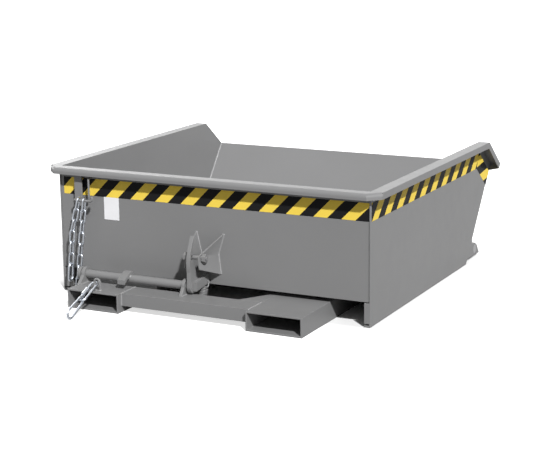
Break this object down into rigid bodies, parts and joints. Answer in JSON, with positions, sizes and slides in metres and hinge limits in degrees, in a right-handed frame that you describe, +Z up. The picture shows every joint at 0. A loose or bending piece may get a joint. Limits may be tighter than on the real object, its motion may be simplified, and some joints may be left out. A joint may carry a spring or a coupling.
{
  "type": "tipping skip",
  "caption": "Low open steel skip that tips on a rear hinge above fork pockets, held down by a sprung hook latch, with a safety chain, a quick link and a snap hook.",
  "frame": {"origin": "on the ground, at the middle of the part's width and depth", "axes": "+X to the right seen from the latch side, +Y from the latch side to the pouring lip, +Z up"},
  "size_m": [1.066, 1.2846, 0.377],
  "materials": {
    "grey_paint": "satin mid-grey paint",
    "hazard_tape": "yellow and black slanted stripes",
    "label": "blank white sticker",
    "plain_steel": "plain steel",
    "zinc": "bright zinc plating"
  },
  "bodies": {
    "frame": {"left_fork_pocket": "grey_paint", "right_fork_pocket": "grey_paint", "front_crossbeam": "grey_paint", "rear_crossbeam": "grey_paint", "left_corner_gusset": "grey_paint", "right_corner_gusset": "grey_paint", "left_bearing_cheek": "grey_paint", "right_bearing_cheek": "grey_paint", "spring_anchor": "grey_paint", "left_frame_lug": "grey_paint", "right_frame_lug": "grey_paint", "left_hinge_pin": "plain_steel", "right_hinge_pin": "plain_steel", "hinge_washers": "plain_steel", "rest_pads": "grey_paint", "pocket_eye": "grey_paint"},
    "trough": {"front_wall": "grey_paint", "floor_plate": "grey_paint", "rear_wall": "grey_paint", "left_side_plate": "grey_paint", "right_side_plate": "grey_paint", "front_rim": "grey_paint", "left_rim": "grey_paint", "right_rim": "grey_paint", "front_hazard_tape": "hazard_tape", "left_hazard_tape": "hazard_tape", "right_hazard_tape": "hazard_tape", "blank_label": "label", "left_latch_guide": "grey_paint", "right_latch_guide": "grey_paint", "striker_pin": "grey_paint", "striker_nut": "grey_paint", "left_hinge_lug": "grey_paint", "right_hinge_lug": "grey_paint", "hanger_strap": "grey_paint", "chain_peg": "grey_paint", "keeper_rod": "grey_paint"},
    "latch": {"release_shaft": "grey_paint", "shaft_collar": "grey_paint", "latch_hook": "grey_paint", "spring_arm": "grey_paint", "release_lug": "grey_paint", "return_spring": "grey_paint"},
    "chain": {"safety_chain": "zinc", "chain_end_link": "zinc"},
    "quick_link": {"quick_link": "zinc"},
    "link_sleeve": {"link_sleeve": "zinc"},
    "snap_hook": {"hook_body": "zinc", "gate_pin": "zinc"},
    "hook_gate": {"hook_gate": "zinc"}
  },
  "joints": [
    {"name": "trough_tip", "type": "hinge", "parent": "frame", "child": "trough", "pos_m": [0, 0.52828, 0.027], "axis": [-1, 0, 0], "range_deg": [0, 70]},
    {"name": "latch_turn", "type": "hinge", "parent": "frame", "child": "latch", "pos_m": [-0.014, -0.42772, 0.08], "axis": [1, 0, 0], "range_deg": [-7, 12], "stiffness_Nm_per_rad": 6, "deforming": ["return_spring"]},
    {"name": "chain_swing", "type": "hinge", "parent": "trough", "child": "chain", "pos_m": [-0.403, -0.38772, 0.286], "axis": [1, 0, 0], "range_deg": [-60, 2]},
    {"name": "quick_link_lift", "type": "hinge", "parent": "frame", "child": "quick_link", "pos_m": [-0.2935, -0.49157, 0.07626], "axis": [-1, 0, 0], "range_deg": [0, 30]},
    {"name": "sleeve_slide", "type": "slide", "parent": "quick_link", "child": "link_sleeve", "axis": [0, 0.9135, 0.4067], "range_m": [-0.008, 0.012]},
    {"name": "snap_hook_swing", "type": "hinge", "parent": "quick_link", "child": "snap_hook", "pos_m": [-0.2935, -0.56831, 0.04209], "axis": [-1, 0, 0], "range_deg": [0, 45]},
    {"name": "gate_turn", "type": "hinge", "parent": "snap_hook", "child": "hook_gate", "pos_m": [-0.2935, -0.61938, 0.03484], "axis": [-1, 0, 0], "range_deg": [0, 20], "stiffness_Nm_per_rad": 0.05, "springref_deg": -8.59}
  ]
}
